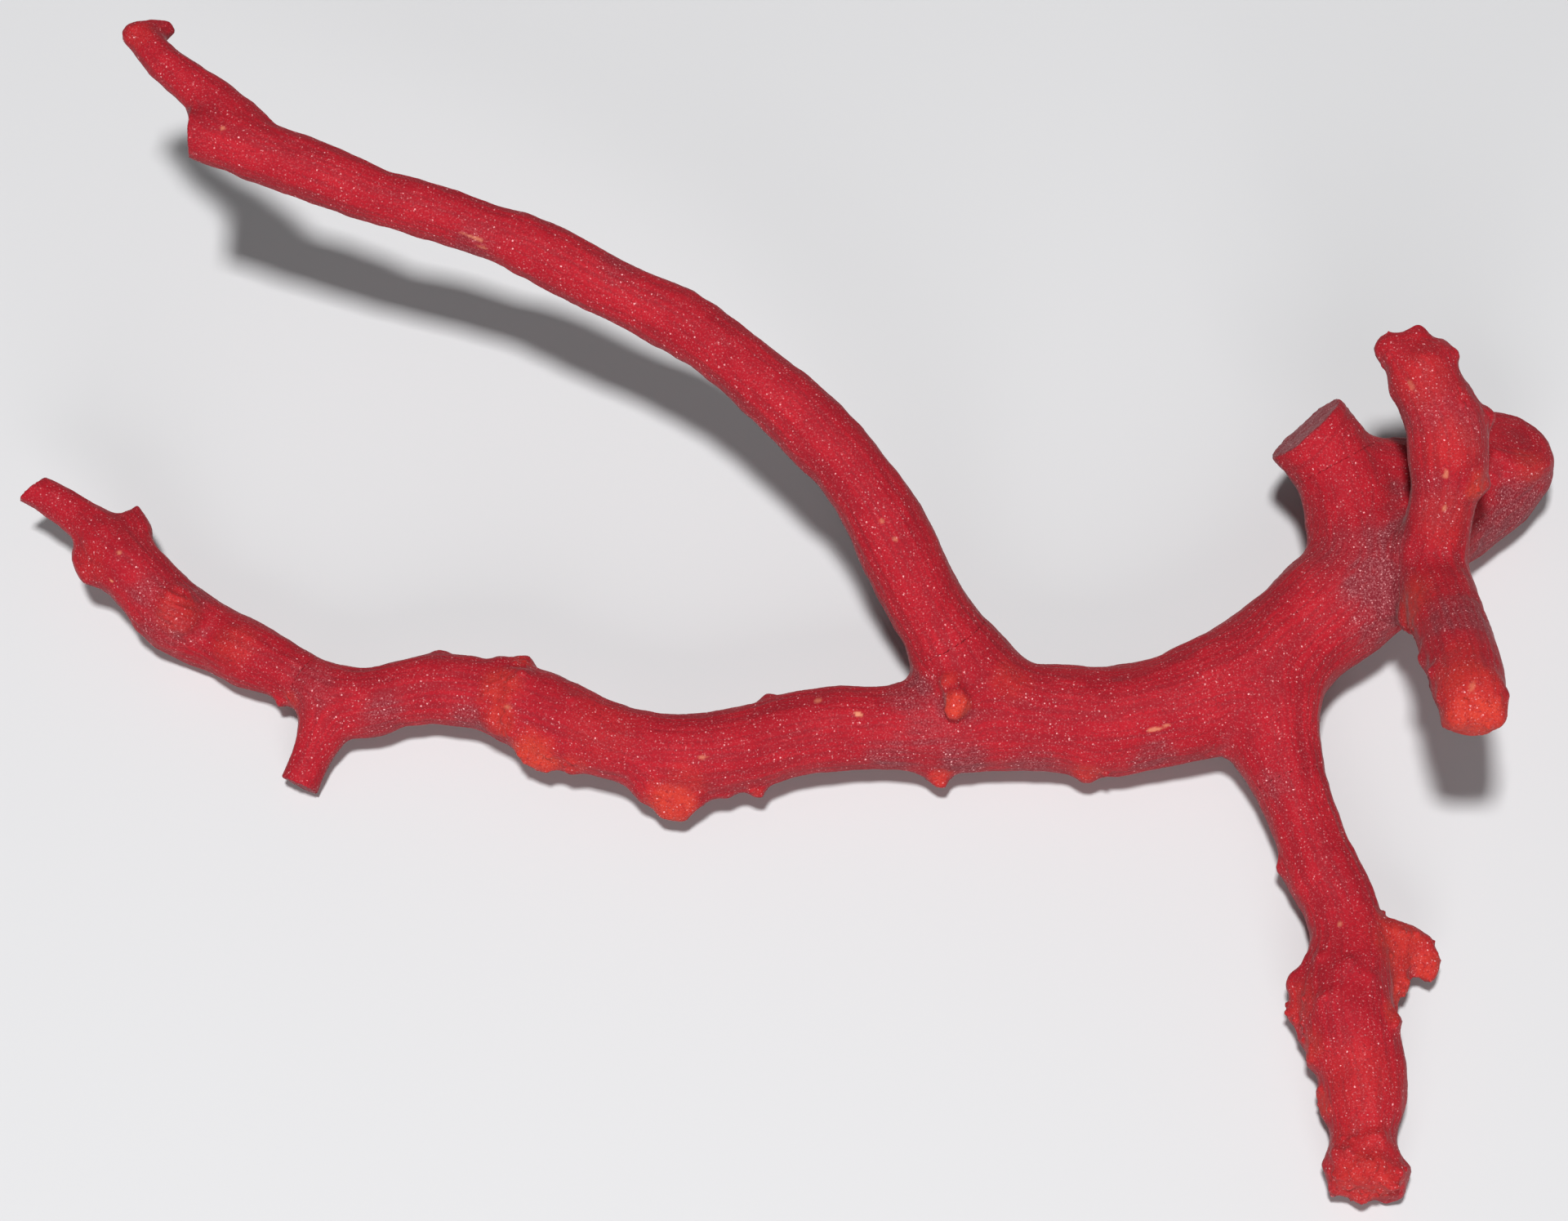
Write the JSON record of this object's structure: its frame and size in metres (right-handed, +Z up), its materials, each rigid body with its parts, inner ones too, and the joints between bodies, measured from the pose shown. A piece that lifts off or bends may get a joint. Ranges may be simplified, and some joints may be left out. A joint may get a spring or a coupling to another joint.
{
  "type": "red coral",
  "caption": "Loose dried twig of red coral with a long raised branch, short stubs and ragged crusted tips, lying on a surface.",
  "frame": {"origin": "middle of the twig's box, on the surface that it lies on", "axes": "+X from the thin left end to the thick right end, the longest extent; +Y away from the viewer; +Z up, the shortest extent"},
  "size_m": [0.0934, 0.0694, 0.0208],
  "materials": {
    "coral": "matt dried red coral with fine lengthwise grooves, pale grains and orange crusted tips"
  },
  "bodies": {
    "root": {"left_branch": "coral", "left_stub": "coral", "outer_stem": "coral", "main_stem": "coral", "trunk": "coral", "long_branch": "coral", "lower_branch": "coral", "cut_stub": "coral", "side_stub": "coral", "upper_arm": "coral", "front_arm": "coral"}
  },
  "joints": []
}
